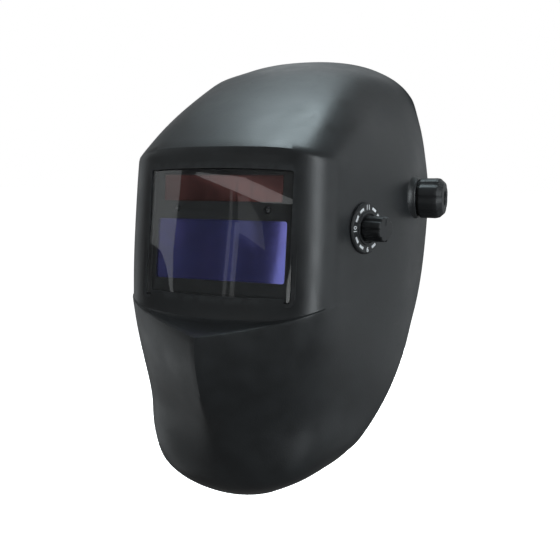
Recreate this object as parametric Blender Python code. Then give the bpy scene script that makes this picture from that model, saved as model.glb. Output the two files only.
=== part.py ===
"""Auto-darkening welding helmet: a moulded shell that tips up on a head harness.

The origin is midway between the two pivots of the shell: +X is the wearer's left,
-Y is the way the wearer looks and +Z is up. Dimensions are in millimetres; MM turns
each finished piece into Blender's metres.
"""

import math

import bmesh
import bpy
from mathutils import Matrix, Vector

MM = 0.001

# ---------------------------------------------------------------- driving dimensions
WALL = 2.6                      # shell wall
GAP = 0.3                       # clearance between neighbouring pieces
FACE_TILT = 7.6                 # the window leans back by this many degrees
FACE_CENTRE = (0.0, -130.4, -20.2)  # middle of the window's plane, just ahead of the bezel
FACE_STAND = 1.7                # how far ahead of the bezel's face that plane stands
WINDOW = (108.8, 85.0)          # opening: width, and height at its ends
WINDOW_ARCH = 1.6               # how far its top and bottom edges bow out in the middle
BEZEL_BOW = 2.4                 # how far the bezel's face curves back over the tunnel's half width
TUNNEL = (117.5, 97.5)          # frame behind the window that holds the cartridge
TUNNEL_DEPTH = 24.5
POCKET = (111.8, 91.8)          # inside of that frame
LENS_FRONT = -5.3               # front of the cover lens, behind the window's plane
ADF = (110.0, 90.0)             # the auto-darkening filter cartridge
LATCH_DEPTH = -21.7
LEAD_HEIGHT = -16.0             # the shade dial's cable enters the cartridge this far below its middle
KNOB_AT = {"sensitivity_knob": 38.0, "delay_knob": -38.0}
DIAL_CENTRE = (89.8, -73.2, -19.0)  # shade dial on the wearer's left
DIAL_NORMAL = (0.942, -0.335, 0.0)
PIVOT_X = 112.4                 # outer face of the shell's pivot bosses
BAND_THICK = 2.0
RIVETS = ((29.0, -3.0), (29.0, 9.0))   # side arm rivets: y and z
RATCHET_Z = -19.6
TOOTH_PITCH = math.pi           # module 1: a 12-tooth pinion of 6 mm pitch radius drives the racks

# ---------------------------------------------------------------- shell surface
# Half of the shell's control cage, from the crown's rear rim down to the chin's rim.
# Each row runs from the centre line round the corner and along the side to the rear rim.
SHELL_ROWS = [
    # crown rim
    [(0, 42, 113.5), (20, 42, 113), (40, 41.5, 110.5), (56, 41, 106.5), (67, 40.7, 102),
     (75, 40.5, 98), (81.5, 40, 94), (87, 39.7, 89.5), (91, 39.3, 85.5), (94.5, 39, 81),
     (97.5, 38.5, 76.5)],
    # crest
    [(0, -16, 98.5), (20, -14, 98.4), (40, -9, 98), (56, -1, 97), (67, 8, 95), (76, 16, 92),
     (83.5, 24, 87.5), (89.5, 30, 82), (94, 34, 77), (98, 36.5, 71), (101, 37, 65.5)],
    # upper forehead
    [(0, -52, 82.5), (20, -51, 82.3), (40, -48.5, 81.2), (56, -44, 79.5), (68, -37, 75.5),
     (76.5, -28, 69.5), (83.5, -17, 63.5), (90.5, -6, 58.5), (97.5, 8, 55), (102.5, 22, 52),
     (106, 35, 50)],
    # lower forehead
    [(0, -88, 61.5), (20, -87.3, 61.3), (40, -85.5, 60.8), (55, -82.5, 59.8), (67, -77.5, 57),
     (76.5, -69, 52.5), (84, -56.5, 47), (91.5, -38, 41), (99.8, -12, 37), (107, 11, 34),
     (109.4, 33.5, 31)],
    # top edge of the bezel
    [(0, -121.8, 38), (20, -121.7, 37.9), (40, -121, 37.3), (55, -119.2, 35.8), (67, -113.8, 33),
     (76, -105.2, 29.5), (80, -94.7, 26), (84.5, -82, 22.5), (97, -47, 18.5), (110.5, -8, 15),
     (112.2, 33, 12)],
    # bezel, above the window's middle
    [(0, -124.6, 14), (20, -124.5, 14), (40, -124, 14), (56, -122.6, 14), (69, -116.2, 13),
     (78, -105.3, 12), (81.3, -94.6, 10), (85, -86, 8), (97.5, -51, 3), (111.5, -9, 0), (113, 33.5, -3)],
    # bezel, below the window's middle
    [(0, -131.5, -44), (20, -131.3, -44), (40, -130.8, -44), (57, -129, -43), (70, -122.6, -42),
     (79.3, -111.3, -41), (82, -98.9, -41), (85, -88.5, -42), (96.5, -56, -46), (110, -14, -52),
     (112.2, 22, -58)],
    # lower edge of the bezel
    [(0, -135.8, -80.5), (20, -135.5, -80), (40, -134.6, -78.5), (57, -131.8, -76), (69.5, -125, -72.5),
     (78.5, -113.4, -69), (82, -101.2, -67), (85, -89.5, -67.5), (94.5, -61, -73), (106.5, -24, -82),
     (110.2, 5.5, -88)],
    # ledge
    [(0, -162.5, -87.6), (20, -153, -85), (40, -143, -81.5), (57, -134.3, -78), (69.5, -126.8, -74),
     (78.3, -115, -70.5), (82.3, -102.3, -69.5), (85.2, -90.5, -71.5), (94.2, -63.5, -78),
     (105.3, -30, -88), (109.4, -3.5, -96)],
    # upper keel
    [(0, -163, -109), (20, -152.5, -107), (40, -141, -104.5), (56, -131, -102), (68.5, -121.5, -100),
     (76.6, -112.5, -99), (81, -102, -99), (84.7, -91, -100.5), (93.2, -69, -106), (102, -41, -114),
     (107.3, -16.5, -121)],
    # lower keel
    [(0, -153.5, -136), (19, -145.5, -135), (37, -136, -133.5), (51.5, -127, -132), (62.5, -118.5, -131),
     (70.5, -109.5, -130.5), (76, -100, -130.5), (81, -90, -131.5), (89, -72.5, -135),
     (97, -51.5, -141), (101, -33, -146)],
    # throat
    [(0, -141, -159), (17, -135.5, -158.5), (33, -128.5, -157.5), (47, -121.5, -156.5),
     (58.5, -114, -155.5), (67.3, -105.5, -155), (73.5, -96.5, -155), (78.6, -87, -155.5),
     (84.3, -73.5, -157.5), (89.8, -59.5, -161), (93.6, -47.5, -164.5)],
    # upper flare
    [(0, -135.5, -181), (16, -134, -180.5), (32, -130, -179.5), (47, -123.5, -178.5),
     (60.5, -114.5, -177.5), (69.7, -105, -176.5), (75.7, -95.5, -176), (79.5, -86, -176.5),
     (82.8, -76, -178), (83.6, -68, -180), (83.4, -60.5, -182.5)],
    # lower flare
    [(0, -131, -208.3), (15.5, -130.5, -208), (31.5, -128.8, -205.3), (46.5, -123, -202),
     (58, -113.5, -199), (63.8, -100.5, -196.3), (67.8, -91.5, -193.5), (71, -84, -191),
     (74.3, -76.5, -189.5), (77, -70.5, -188), (79, -64.5, -186)],
    # chin rim
    [(0, -104, -220.4), (14, -103.3, -219), (27, -101.5, -216.2), (38, -98.5, -211.3),
     (47.5, -93, -206.6), (56, -87, -202.6), (62.5, -82.3, -198.8), (67, -78, -196),
     (70.5, -74.5, -193.7), (73.5, -71, -191.3), (76, -68, -189)],
]
CREST, BEZEL_TOP, BEZEL_FOOT, LEDGE = 1, 4, 7, 8   # rows with an edge along them
ROW_CREASE = {CREST: 0.35, BEZEL_TOP: 0.85, BEZEL_FOOT: 0.8, LEDGE: 0.85}
CORNER_COLUMN = 6               # creases fade out beyond this column
KEEL_ROWS = {LEDGE: 0.9, LEDGE + 1: 0.8, LEDGE + 2: 0.5}   # centre-line crease below each of these rows
SHELL_DETAIL = 0.16             # share of the subdivided surface's faces that is kept

# ---------------------------------------------------------------- looks: colour, roughness, metallic
NYLON = ((0.035, 0.038, 0.041), 0.38, 0.0)
NYLON_DARK = ((0.018, 0.019, 0.021), 0.5, 0.0)
POLYPROPYLENE = ((0.03, 0.031, 0.034), 0.55, 0.0)
CLEAR = ((0.75, 0.78, 0.8), 0.05, 0.0)
FILTER = ((0.03, 0.04, 0.3), 0.06, 0.2)
GLASS = ((0.05, 0.1, 0.08), 0.1, 0.0)
SILICON = ((0.09, 0.04, 0.045), 0.25, 0.3)
BOARD = ((0.02, 0.16, 0.06), 0.45, 0.0)
RUBBER = ((0.02, 0.02, 0.02), 0.8, 0.0)
BRASS = ((0.75, 0.55, 0.25), 0.3, 1.0)
STEEL = ((0.6, 0.6, 0.6), 0.3, 1.0)
FOAM = ((0.05, 0.05, 0.055), 0.95, 0.0)


# ---------------------------------------------------------------- frames: each local frame's matrix, in mm
def axes(origin, x_axis, z_axis):
    z = Vector(z_axis).normalized()
    x = Vector(x_axis)
    x = (x - z * x.dot(z)).normalized()
    y = z.cross(x)
    m = Matrix((x, y, z)).transposed().to_4x4()
    m.translation = Vector(origin)
    return m


TILT = math.radians(FACE_TILT)
FACE = axes(FACE_CENTRE, (1, 0, 0), (0, -math.cos(TILT), math.sin(TILT)))   # across, up, out of the window
DIAL = axes(DIAL_CENTRE, (0, 0, 1), DIAL_NORMAL)                            # up, forward, out of the panel


def side(s):
    """A frame on the tilt axis whose z runs outwards on the wearer's left (s=1) or right (s=-1)."""
    return axes((0, 0, 0), (0, -1, 0), (s, 0, 0))


WORLD = Matrix.Identity(4)
REAR = axes((0, 0, RATCHET_Z), (1, 0, 0), (0, 1, 0))                        # across, down, rearwards


# ---------------------------------------------------------------- outlines and solids, in mm
def rounded_rect(width, height, radius, per_corner=3, per_side=1):
    points = []
    for cx, cy, start in ((1, 1, 0), (-1, 1, 90), (-1, -1, 180), (1, -1, 270)):
        x, y = cx * (width / 2 - radius), cy * (height / 2 - radius)
        for k in range(per_corner + 1):
            t = math.radians(start + 90 * k / per_corner)
            points.append((x + radius * math.cos(t), y + radius * math.sin(t)))
        if per_side > 1:
            nx, ny = {0: (-1, 1), 90: (-1, -1), 180: (1, -1), 270: (1, 1)}[start]
            a, t = points[-1], math.radians(start + 90)
            b = (nx * (width / 2 - radius) + radius * math.cos(t),
                 ny * (height / 2 - radius) + radius * math.sin(t))
            points += [(a[0] + (b[0] - a[0]) * k / per_side, a[1] + (b[1] - a[1]) * k / per_side)
                       for k in range(1, per_side)]
    return points


def circle(radius, count=24, centre=(0, 0)):
    turn = 2 * math.pi / count
    return [(centre[0] + radius * math.cos(turn * k), centre[1] + radius * math.sin(turn * k))
            for k in range(count)]


def moved(outline, dx, dy):
    return [(x + dx, y + dy) for x, y in outline]


def prism(outline, low, high, inset=0.0):
    """An outline extruded from low to high, the top drawn in by an inset."""
    bm = bmesh.new()
    cx = sum(p[0] for p in outline) / len(outline)
    cy = sum(p[1] for p in outline) / len(outline)
    reach = max(math.hypot(x - cx, y - cy) for x, y in outline)
    k = 1 - inset / reach
    bottom = [bm.verts.new((x, y, low)) for x, y in outline]
    top = [bm.verts.new((cx + (x - cx) * k, cy + (y - cy) * k, high)) for x, y in outline]
    bm.faces.new(bottom)
    bm.faces.new(top)
    for i in range(len(outline)):
        j = (i + 1) % len(outline)
        bm.faces.new((bottom[i], bottom[j], top[j], top[i]))
    return bm


def frame_ring(outer, inner, front, back):
    """A frame between two outlines of equal length; front is a height, or a function of x."""
    bm = bmesh.new()
    height = front if callable(front) else lambda x: front
    loops = [[bm.verts.new((x, y, height(x))) for x, y in outer],
             [bm.verts.new((x, y, height(x))) for x, y in inner],
             [bm.verts.new((x, y, back)) for x, y in inner],
             [bm.verts.new((x, y, back)) for x, y in outer]]
    for a, b in zip(loops, loops[1:] + loops[:1]):
        for i in range(len(outer)):
            j = (i + 1) % len(outer)
            bm.faces.new((a[i], a[j], b[j], b[i]))
    return bm


def lathe(profile, count=24, lobes=0, depth=0.0):
    """A profile of (radius, height, share of the lobes) turned round z; open profiles end on the axis."""
    bm = bmesh.new()
    rings = []
    for point in profile:
        r, h = point[0], point[1]
        share = point[2] if len(point) > 2 else 0.0
        if r == 0:
            rings.append([bm.verts.new((0, 0, h))])
            continue
        ring = []
        for k in range(count):
            t = 2 * math.pi * k / count
            flute = max(0.0, math.cos(lobes * t)) ** 1.5 if lobes else 0.0
            rr = r - depth * share * flute
            ring.append(bm.verts.new((rr * math.cos(t), rr * math.sin(t), h)))
        rings.append(ring)
    pairs = list(zip(rings, rings[1:]))
    if len(rings[0]) > 1:
        pairs.append((rings[-1], rings[0]))
    for a, b in pairs:
        for k in range(count):
            j = (k + 1) % count
            if len(a) == 1:
                bm.faces.new((a[0], b[j], b[k]))
            elif len(b) == 1:
                bm.faces.new((a[k], a[j], b[0]))
            else:
                bm.faces.new((a[k], a[j], b[j], b[k]))
    return bm


def strip(path, heights, thickness, offset=0.0):
    """A band beside a plan path; heights gives its lower and upper edge at each point."""
    bm = bmesh.new()
    sections = []
    for i, (x, y) in enumerate(path):
        ax, ay = path[max(i - 1, 0)]
        bx, by = path[min(i + 1, len(path) - 1)]
        length = math.hypot(bx - ax, by - ay)
        nx, ny = -(by - ay) / length, (bx - ax) / length
        low, high = heights(x, y)
        x, y = x + nx * offset, y + ny * offset
        nx, ny = nx * thickness, ny * thickness
        corners = ((x, y, low), (x, y, high), (x + nx, y + ny, high), (x + nx, y + ny, low))
        sections.append([bm.verts.new(p) for p in corners])
    for a, b in zip(sections, sections[1:]):
        for k in range(4):
            bm.faces.new((a[k], a[(k + 1) % 4], b[(k + 1) % 4], b[k]))
    bm.faces.new(sections[0])
    bm.faces.new(sections[-1][::-1])
    return bm


def spline(points, per_span=6):
    """Points along a smooth curve through the given ones (Catmull-Rom), in two or three dimensions."""
    ends = [[2 * a - b for a, b in zip(points[0], points[1])], *points,
            [2 * a - b for a, b in zip(points[-1], points[-2])]]
    out = []
    for p0, p1, p2, p3 in zip(ends, ends[1:], ends[2:], ends[3:]):
        for k in range(per_span):
            t = k / per_span
            out.append(tuple(0.5 * (2 * b + (c - a) * t + (2 * a - 5 * b + 4 * c - d) * t * t
                                    + (3 * b - a - 3 * c + d) * t ** 3)
                             for a, b, c, d in zip(p0, p1, p2, p3)))
    out.append(tuple(points[-1]))
    return out


# ---------------------------------------------------------------- objects
def solid(name, bm, matrix=WORLD):
    bmesh.ops.transform(bm, matrix=matrix, verts=bm.verts)
    bmesh.ops.recalc_face_normals(bm, faces=bm.faces)
    mesh = bpy.data.meshes.new(name)
    bm.to_mesh(mesh)
    bm.free()
    obj = bpy.data.objects.new(name, mesh)
    bpy.context.scene.collection.objects.link(obj)
    return obj


def settle(obj):
    """Turn an object's modifiers into plain geometry."""
    bpy.context.view_layer.update()
    shaped = obj.evaluated_get(bpy.context.evaluated_depsgraph_get())
    mesh = bpy.data.meshes.new_from_object(shaped)
    obj.modifiers.clear()
    obj.data = mesh


def combine(obj, bm, matrix=WORLD, operation="DIFFERENCE"):
    cutter = solid("cutter", bm, matrix)
    cutter.hide_render = True
    cutter.display_type = "WIRE"
    mod = obj.modifiers.new("cut", "BOOLEAN")
    mod.operation = operation
    mod.solver = "EXACT"
    mod.object = cutter
    settle(obj)
    bpy.data.objects.remove(cutter)


def join(obj, bm, matrix=WORLD):
    combine(obj, bm, matrix, "UNION")


def finish(obj, look, origin=(0, 0, 0), sharp=35):
    """Scale to metres, put the origin in place, shade and colour."""
    mesh = obj.data
    mesh.transform(Matrix.Scale(MM, 4) @ Matrix.Translation(-Vector(origin)))
    obj.location = Vector(origin) * MM
    mesh.shade_smooth()
    mesh.set_sharp_from_angle(angle=math.radians(sharp))
    colour, roughness, metallic = look
    mat = bpy.data.materials.new(obj.name)
    mat.use_nodes = True
    mat.diffuse_color = (*colour, 1)
    shader = mat.node_tree.nodes["Principled BSDF"]
    shader.inputs["Base Color"].default_value = (*colour, 1)
    shader.inputs["Roughness"].default_value = roughness
    shader.inputs["Metallic"].default_value = metallic
    mesh.materials.clear()
    mesh.materials.append(mat)
    return obj


def clear_scene():
    for obj in list(bpy.data.objects):
        bpy.data.objects.remove(obj)


# ---------------------------------------------------------------- the shell
def shell_surface():
    """The control cage, the half above and its mirror, with creases along the edges of the moulding."""
    bm = bmesh.new()
    crease = bm.edges.layers.float.new("crease_edge")
    grid = []
    for row in SHELL_ROWS:
        left = [(-x, y, z) for x, y, z in reversed(row[1:])]
        grid.append([bm.verts.new(p) for p in left + row])
    middle = len(SHELL_ROWS[0]) - 1
    for upper, lower in zip(grid, grid[1:]):
        for i in range(len(upper) - 1):
            bm.faces.new((upper[i], lower[i], lower[i + 1], upper[i + 1]))
    for r, value in ROW_CREASE.items():
        for i in range(len(grid[r]) - 1):
            reach = max(abs(i - middle), abs(i + 1 - middle))
            fade = max(0.0, min(1.0, (CORNER_COLUMN + 2 - reach) / 3))
            bm.edges.get((grid[r][i], grid[r][i + 1]))[crease] = value * fade
    for r, value in KEEL_ROWS.items():
        bm.edges.get((grid[r][middle], grid[r + 1][middle]))[crease] = value
    return bm


def window_outline(grow=0.0, per_side=8):
    """The opening: straight sides, with the top and the bottom bowed out."""
    half_w, half_h = WINDOW[0] / 2 + grow, WINDOW[1] / 2 + grow
    xs = [half_w - 2 * half_w * k / per_side for k in range(per_side + 1)]
    bow = [(x, half_h + WINDOW_ARCH * (1 - (x / half_w) ** 2)) for x in xs]
    return bow + [(-x, -y) for x, y in bow]


def wall_middle(x):
    """Depth of the middle of the bezel's wall below the window's plane, for the frame behind it."""
    return -FACE_STAND - WALL / 2 - 0.3 - BEZEL_BOW * (x / (TUNNEL[0] / 2)) ** 2


def build_shell():
    shell = solid("shell", shell_surface())
    fine = shell.modifiers.new("fine", "SUBSURF")
    fine.levels = fine.render_levels = 2
    thin = shell.modifiers.new("thin", "DECIMATE")
    thin.ratio = SHELL_DETAIL
    wall = shell.modifiers.new("wall", "SOLIDIFY")
    wall.thickness = WALL
    wall.offset = -1
    wall.use_even_offset = True
    settle(shell)
    tunnel = frame_ring(rounded_rect(*TUNNEL, 6, 3, 6), rounded_rect(WINDOW[0] - 6, WINDOW[1] - 6, 3, 3, 6),
                        wall_middle, -TUNNEL_DEPTH)
    join(shell, tunnel, FACE)
    combine(shell, prism(window_outline(), LENS_FRONT - 2, 12), FACE)
    combine(shell, prism(rounded_rect(*POCKET, 2), -60, LENS_FRONT + GAP), FACE)
    for s in (-1, 1):
        boss = [(0, PIVOT_X - 7), (17, PIVOT_X - 7), (17, PIVOT_X - 3), (15, PIVOT_X), (0, PIVOT_X)]
        join(shell, lathe(boss), side(s))
        combine(shell, prism(circle(15.3), PIVOT_X - 20, PIVOT_X - 3.4), side(s))
        combine(shell, prism(circle(4.5, 24), PIVOT_X - 20, PIVOT_X + 9), side(s))
        slot = rounded_rect(4.2, 17, 0.8, 2)
        cut = axes((s * 57.5, 0, 0), (1, 0, 0), (0, 0, 1))
        combine(shell, prism(slot, LATCH_DEPTH - 1.6, LATCH_DEPTH + 1.6), FACE @ cut)
    join(shell, prism(circle(19), -3.4, 0.2), DIAL)
    combine(shell, prism(circle(17), -14, -3.4), DIAL)
    combine(shell, prism(circle(5.2, 24), -12, 9), DIAL)
    notch = axes((57.5, LEAD_HEIGHT, 0), (1, 0, 0), (0, 0, 1))
    combine(shell, prism(rounded_rect(5.5, 6, 0.5, 2), -TUNNEL_DEPTH - 1, -12.2), FACE @ notch)
    return finish(shell, NYLON, sharp=30)


# ---------------------------------------------------------------- the auto-darkening cartridge
def build_lens_stack():
    plate = rounded_rect(111.2, 91.2, 2)
    finish(solid("cover_lens", prism(plate, -6.8, LENS_FRONT), FACE), CLEAR)
    finish(solid("lens_gasket", frame_ring(plate, rounded_rect(105, 85, 2), -7.1, -8.1), FACE), RUBBER)

    front = solid("adf_front", prism(rounded_rect(*ADF, 4), -12.4, -8.4), FACE)
    combine(front, prism(moved(rounded_rect(99.6, 42.4, 2), 0, -12), -13, -7), FACE)
    combine(front, prism(moved(rounded_rect(104, 48, 2), 0, -12), -13, -9.6), FACE)
    combine(front, prism(moved(rounded_rect(92, 19, 1), 0, 31), -9.5, -7), FACE)
    for s in (-1, 1):
        combine(front, prism(circle(2.6, 16, (s * 35, 16.3)), -13, -7), FACE)
        finish(solid("arc_sensor_" + ("left" if s > 0 else "right"),
                     lathe([(0, -12.2), (2.3, -12.2), (2.3, -9.2), (0, -8.9)], 16),
                     FACE @ Matrix.Translation((s * 35, 16.3, 0))), GLASS)
    finish(front, NYLON_DARK)
    glass = moved(rounded_rect(103.4, 47.4, 1.6), 0, -12)
    finish(solid("uv_ir_filter", prism(glass, -11.8, -9.9), FACE), FILTER)
    finish(solid("solar_cell", prism(moved(rounded_rect(91.2, 18.2, 0.6), 0, 31), -9.2, -8.6), FACE), SILICON)

    back = solid("adf_back", prism(rounded_rect(*ADF, 4), -19, -12.7), FACE)
    combine(back, prism(moved(rounded_rect(96, 40, 2), 0, -12), -20, -12), FACE)
    combine(back, prism(moved(rounded_rect(104, 48, 2), 0, -12), -15.2, -12), FACE)
    combine(back, prism(moved(rounded_rect(104, 20, 1.5), 0, 31), -15.8, -12), FACE)
    combine(back, prism(moved(rounded_rect(102.6, 46.6, 2), 0, -12), -20, -17.6), FACE)
    for x in KNOB_AT.values():
        combine(back, prism(circle(3.3, 14, (x, 29)), -20, -12), FACE)
    combine(back, prism(moved(rounded_rect(30, 19, 3), 0, 29), -20, -17.9), FACE)
    combine(back, prism(circle(8.3, 20, (0, 29)), -19, -14), FACE)
    finish(back, NYLON_DARK)
    finish(solid("liquid_crystal_cell", prism(glass, -14.9, -12.1), FACE), GLASS)
    board = solid("circuit_board", prism(moved(rounded_rect(103.2, 19.2, 1), 0, 31), -14.3, -13.1), FACE)
    for x in KNOB_AT.values():
        combine(board, prism(circle(3.3, 14, (x, 29)), -15, -12), FACE)
    finish(board, BOARD)
    finish(solid("battery", prism(circle(8, 20, (0, 29)), -17.8, -14.9), FACE), STEEL)
    finish(solid("battery_door", prism(moved(rounded_rect(29.4, 18.4, 2.7), 0, 29), -19, -18.2), FACE), NYLON)
    finish(solid("inner_lens", prism(moved(rounded_rect(102, 46, 1.7), 0, -12), -19, -17.9), FACE), CLEAR)

    for name, x in KNOB_AT.items():
        m = FACE @ Matrix.Translation((x, 29, 0))
        dial = [(0, -23.4), (6.4, -23.4, 1), (7, -22.8, 1), (7, -19.4, 1), (2.9, -19.4), (2.9, -13.2),
                (0, -13.2)]
        knob = solid(name, lathe(dial, 27, 9, 0.8), m)
        combine(knob, prism(rounded_rect(9, 1.4, 0.3, 2), -24, -22.6), m)
        finish(knob, NYLON, m.translation)


def build_lens_frame():
    outer = rounded_rect(111.2, 91.2, 2)
    frame = solid("lens_frame", frame_ring(outer, rounded_rect(97, 77, 3), -19.3, -22.6), FACE)
    for s in (-1, 1):
        channel = rounded_rect(9, 12.6, 0.6, 2)
        combine(frame, prism(moved(channel, s * 52.4, 0), -24, -20.7), FACE)
    finish(frame, NYLON)
    for s, name in ((1, "left"), (-1, "right")):
        at = Matrix.Translation((s * 51.4, 0, 0))
        latch = solid("latch_" + name, prism(rounded_rect(7.6, 12, 0.6, 2), -22.6, -21), FACE @ at)
        join(latch, prism(moved(rounded_rect(5, 7, 0.6, 2), s * 3.3, 0), -22.2, -21.2), FACE @ at)
        join(latch, prism(moved(rounded_rect(1.6, 9, 0.5, 2), -s * 2.2, 0), -24.4, -22), FACE @ at)
        finish(latch, NYLON_DARK, (FACE @ at).translation)


# ---------------------------------------------------------------- the shade dial on the wearer's left
def build_shade_dial():
    section = [(5.6, 1.9), (8.2, 1.9), (8.2, 0.7), (18.3, 0.7), (18.3, 1.3), (17.3, 2.6), (12, 2.6),
               (11.7, 3.7), (10.3, 3.7), (10, 2.6), (5.6, 2.6)]
    finish(solid("dial_plate", lathe(section, 32), DIAL), NYLON)
    pot = solid("pot_housing", prism(rounded_rect(21, 21, 2.5), -13.5, -3.7), DIAL)
    join(pot, prism(circle(4.9, 24), -5, 1.9), DIAL)
    combine(pot, prism(circle(3.3, 20), -11, 4), DIAL)
    finish(pot, NYLON_DARK)
    nut = solid("pot_nut", prism(circle(7, 6), 0.5, 1.6), DIAL)
    combine(nut, prism(circle(5.2, 24), -1, 3), DIAL)
    finish(nut, BRASS)
    section = [(0, -10.6), (3, -10.6), (3, 3.2), (9.3, 3.2, 1), (8.9, 17.3, 1), (8.3, 18.2, 1), (0, 18.2)]
    finish(solid("shade_knob", lathe(section, 40, 8, 1.5), DIAL), NYLON, DIAL.translation)
    start = DIAL @ Vector((-4, 10.8, -9))
    end = FACE @ Vector((ADF[0] / 2 + 0.5, LEAD_HEIGHT, -15.6))
    path = [start, DIAL @ Vector((-6, 17, -9)), start.lerp(end, 0.6) + Vector((3, 0, -3)),
            end + Vector((6, 0, 0)), end]
    finish(solid("pot_lead", tube(spline([tuple(p) for p in path], 3), 1.5)), RUBBER)


def tube(path, radius, count=8):
    """A round cable along a path, square to it, with flat ends."""
    bm = bmesh.new()
    points = [Vector(p) for p in path]
    rings = []
    for i, p in enumerate(points):
        ahead = (points[min(i + 1, len(points) - 1)] - points[max(i - 1, 0)]).normalized()
        across = ahead.cross(Vector((0, 0, 1))).normalized()
        up = across.cross(ahead)
        turn = 2 * math.pi / count
        rings.append([bm.verts.new(p + (across * math.cos(turn * k) + up * math.sin(turn * k)) * radius)
                      for k in range(count)])
    for a, b in zip(rings, rings[1:]):
        for k in range(count):
            bm.faces.new((a[k], a[(k + 1) % count], b[(k + 1) % count], b[k]))
    bm.faces.new(rings[0])
    bm.faces.new(rings[-1])
    return bm


# ---------------------------------------------------------------- the two pivots
def build_pivot(s, name):
    m = side(s)
    base = PIVOT_X + 1.5
    profile = [(0, base), (15.4, base, 0.4), (15.7, base + 12, 1), (15.2, base + 14.5, 1),
               (11.8, base + 18.4, 0.5), (6, base + 18.7), (5, base + 16.4), (0, base + 16.4)]
    knob = solid("tension_knob_" + name, lathe(profile, 40, 8, 1.3), m)
    combine(knob, prism(circle(6.1, 16), base - 3, base + 4.3), m)
    combine(knob, prism(circle(4.3, 16), base - 3, base + 13), m)
    finish(knob, NYLON, (s * base, 0, 0))
    finish(solid("knob_nut_" + name, ring(5.8, 4.2, base + 0.2, base + 4, 16), m), BRASS, (s * base, 0, 0))
    finish(solid("friction_washer_" + name, ring(14, 4.3, PIVOT_X + 0.3, PIVOT_X + 1.2, 20), m), RUBBER)
    finish(solid("tilt_stop_" + name, ring(14.8, 4.3, PIVOT_X - 5.6, PIVOT_X - 3.7, 20), m), POLYPROPYLENE)

    arm = solid("side_arm_" + name, prism(rounded_rect(26, 22, 6), 84.5, PIVOT_X - 7.6), m)
    join(arm, prism(circle(14), PIVOT_X - 9, PIVOT_X - 5.9), m)
    join(arm, prism(rounded_rect(48, 34, 6), 82.6, 85.6), axes((0, 12, 5), (0, 1, 0), (s, 0, 0)))
    combine(arm, prism(rounded_rect(21, 17, 4), 80, PIVOT_X - 8.9), m)
    combine(arm, prism(circle(4.3, 16), 80, PIVOT_X + 2), m)
    for y, z in RIVETS:
        combine(arm, prism(circle(2.3, 10), 80, 90), axes((0, y, z), (0, 1, 0), (s, 0, 0)))
    finish(arm, POLYPROPYLENE)
    bolt = solid("pivot_bolt_" + name, prism(circle(7, 6), PIVOT_X - 12, PIVOT_X - 9.2), m)
    join(bolt, prism(circle(3.9, 16), PIVOT_X - 11, base + 12.5), m)
    finish(bolt, STEEL)


def ring(outer, inner, low, high, count):
    return frame_ring(circle(outer, count), circle(inner, count), high, low)


# ---------------------------------------------------------------- the head harness
BAND_HALF = [(24, 123.6), (30, 123), (41, 119.5), (51, 112), (63, 98), (74.5, 72), (79.5, 42), (80, 12),
             (77.5, -18), (68, -46), (50, -68), (26, -80.5), (0, -84)]   # inside of the band, from the back


def band_path():
    return spline(BAND_HALF + [(-x, y) for x, y in reversed(BAND_HALF[:-1])], 3)


def band_heights(half):
    """The band's lower and upper edge: it drops towards the nape and narrows a little."""
    return lambda x, y: (7 - 0.24 * (y - 12) - half + y / 90, 7 - 0.24 * (y - 12) + half - y / 90)


def build_headband():
    path = band_path()
    band = solid("headband", strip(path, band_heights(11.5), BAND_THICK))
    for s, name in ((1, "left"), (-1, "right")):
        for k, (y, z) in enumerate(RIVETS):
            m = axes((0, y, z), (0, 1, 0), (s, 0, 0))
            combine(band, prism(circle(2.3, 10), 70, 84), m)
            profile = [(0, 77), (3.4, 77), (3.6, 78.2), (2, 78.2), (2, 85.9), (3.6, 85.9), (2.8, 87.2),
                       (0, 87.2)]
            finish(solid(f"rivet_{name}_{k + 1}", lathe(profile, 10), m), NYLON_DARK)
    finish(band, POLYPROPYLENE)
    brow = [p for p in path if p[1] < -40]
    finish(solid("sweatband", strip(brow, band_heights(13), -6, -GAP)), FOAM)


def build_crown():
    m = axes((0, 0, 0), (1, 0, 0), (0, -1, 0))                # across, up, forwards
    side_run = [(78.8, -4), (78.8, 14), (76.4, 39), (66, 64), (45, 81)]
    over = side_run + [(20, 88.7), (0, 90), (-16, 88.9)]
    under = side_run + [(22, 86), (0, 87.5), (-16, 86.4)]
    width = lambda x, z: (-22, -2)
    left = solid("crown_strap_left", strip(spline(over, 3), width, 1.6), m)
    right = solid("crown_strap_right", strip([(-x, z) for x, z in spline(under, 3)], width, -1.6), m)
    for strap in (left, right):
        for x in (-10, 0, 10):
            combine(strap, prism(circle(2.6, 10), 80, 96), axes((x, 12, 0), (1, 0, 0), (0, 0, 1)))
        finish(strap, POLYPROPYLENE)
    peg = [(0, 83.8), (4, 83.8), (4.4, 85), (2.2, 85), (2.2, 90.4), (4.6, 90.4), (4.2, 91.2), (0, 91.5)]
    finish(solid("crown_peg", lathe(peg, 12), axes((0, 12, 0), (1, 0, 0), (0, 0, 1))), NYLON_DARK)


def pinion_outline(teeth=12):
    points = []
    for k in range(teeth):
        for r, half in ((4.9, 0.78), (6.7, 0.36)):
            points.append((r, 2 * math.pi * k / teeth - half / r))
        for r, half in ((6.7, 0.36), (4.9, 0.78)):
            points.append((r, 2 * math.pi * k / teeth + half / r))
    return [(r * math.cos(t), r * math.sin(t)) for r, t in points]


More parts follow.
